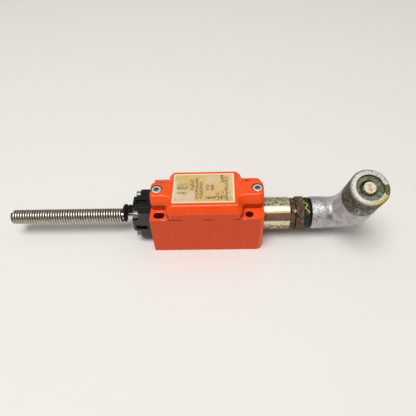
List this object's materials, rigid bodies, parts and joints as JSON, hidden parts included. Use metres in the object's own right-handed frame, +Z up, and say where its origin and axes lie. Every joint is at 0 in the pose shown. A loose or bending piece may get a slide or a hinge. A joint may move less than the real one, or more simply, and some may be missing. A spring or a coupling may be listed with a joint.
{
  "type": "wobble stick limit switch",
  "caption": "Die-cast limit switch body with a close-wound spring wobble stick, torn rubber boot and a conduit elbow with cable gland; the stick tilts any way to work the contacts",
  "frame": {"origin": "centre of the housing's mounting face", "axes": "+X to the conduit elbow, -X to the stick, +Y to the back, +Z up out of the mounting face to the cover"},
  "size_m": [0.2535, 0.0492, 0.0638],
  "materials": {
    "orange_paint": "worn gloss paint",
    "label_foil": "faded and rubbed",
    "black_plastic": "dusty",
    "black_rubber": "aged",
    "green_rubber": "aged",
    "spring_steel": "stained in the valleys",
    "screw_steel": "plated",
    "yellow_zinc": "yellow plating, stained and rusting",
    "dark_zinc": "plating worn dark",
    "rusty_steel": "rusted",
    "grey_casting": "sand-cast, grey paint worn",
    "brass": "plain",
    "copper": "cut bright",
    "white_plastic": "plain",
    "brown_plastic": "moulded",
    "clear_plastic": "plain",
    "cable_jacket": "aged"
  },
  "bodies": {
    "case": {"block_base": "brown_plastic", "block_lid": "clear_plastic", "block_screw_1": "screw_steel", "block_screw_2": "screw_steel", "boot": "black_rubber", "cable": "cable_jacket", "cable_core_back": "copper", "cable_core_front": "copper", "clamp_plate_break_back": "screw_steel", "clamp_plate_break_front": "screw_steel", "clamp_plate_make_back": "screw_steel", "clamp_plate_make_front": "screw_steel", "conduit_nipple": "yellow_zinc", "cover": "orange_paint", "cover_screw_left": "screw_steel", "cover_screw_right": "screw_steel", "cover_seal": "black_rubber", "earth_screw": "brass", "elbow": "grey_casting", "fixed_contact_break_back": "brass", "fixed_contact_break_front": "brass", "fixed_contact_make_back": "brass", "fixed_contact_make_front": "brass", "gland_bushing": "green_rubber", "gland_nut": "dark_zinc", "gland_washer": "screw_steel", "head_gasket": "black_rubber", "head_housing": "black_plastic", "head_screw_1": "screw_steel", "head_screw_2": "screw_steel", "head_screw_3": "screw_steel", "head_screw_4": "screw_steel", "housing": "orange_paint", "locknut": "rusty_steel", "nameplate": "label_foil", "plunger_bush": "brass", "plunger_spring": "spring_steel", "seal_ring": "black_rubber", "sealing_washer": "rusty_steel", "slider_spring": "spring_steel", "terminal_screw_break_back": "screw_steel", "terminal_screw_break_front": "screw_steel", "terminal_screw_make_back": "screw_steel", "terminal_screw_make_front": "screw_steel"},
    "ball": {"swivel_ball": "screw_steel"},
    "stick": {"stick_rod": "spring_steel", "cross_pin": "screw_steel", "rocker_disc": "screw_steel", "stick_ferrule": "screw_steel", "stick_spring": "spring_steel"},
    "plunger": {"plunger": "white_plastic"},
    "slider": {"contact_slider": "white_plastic", "bridge_break": "brass", "bridge_make": "brass", "bridge_spring_break": "spring_steel", "bridge_spring_make": "spring_steel"}
  },
  "joints": [
    {"name": "stick_swing", "type": "hinge", "parent": "case", "child": "ball", "pos_m": [-0.0465, 0, 0.0164], "axis": [0, 0, 1], "range_deg": [-10, 10], "stiffness_Nm_per_rad": 1.8, "deforming": ["boot"]},
    {"name": "stick_tilt", "type": "hinge", "parent": "ball", "child": "stick", "pos_m": [-0.0465, 0, 0.0164], "axis": [0, 1, 0], "range_deg": [-10, 10], "stiffness_Nm_per_rad": 1.8, "deforming": ["boot"]},
    {"name": "plunger_travel", "type": "slide", "parent": "case", "child": "plunger", "axis": [1, 0, 0], "range_m": [0, 0.0015], "stiffness_N_per_m": 500, "springref_m": -0.004, "deforming": ["plunger_spring"]},
    {"name": "slider_travel", "type": "slide", "parent": "case", "child": "slider", "axis": [1, 0, 0], "range_m": [0, 0.0015], "stiffness_N_per_m": 200, "springref_m": -0.004, "deforming": ["slider_spring"]}
  ],
  "couplings": [
    {"joint": "slider_travel", "follows": "plunger_travel", "ratio": 1}
  ]
}
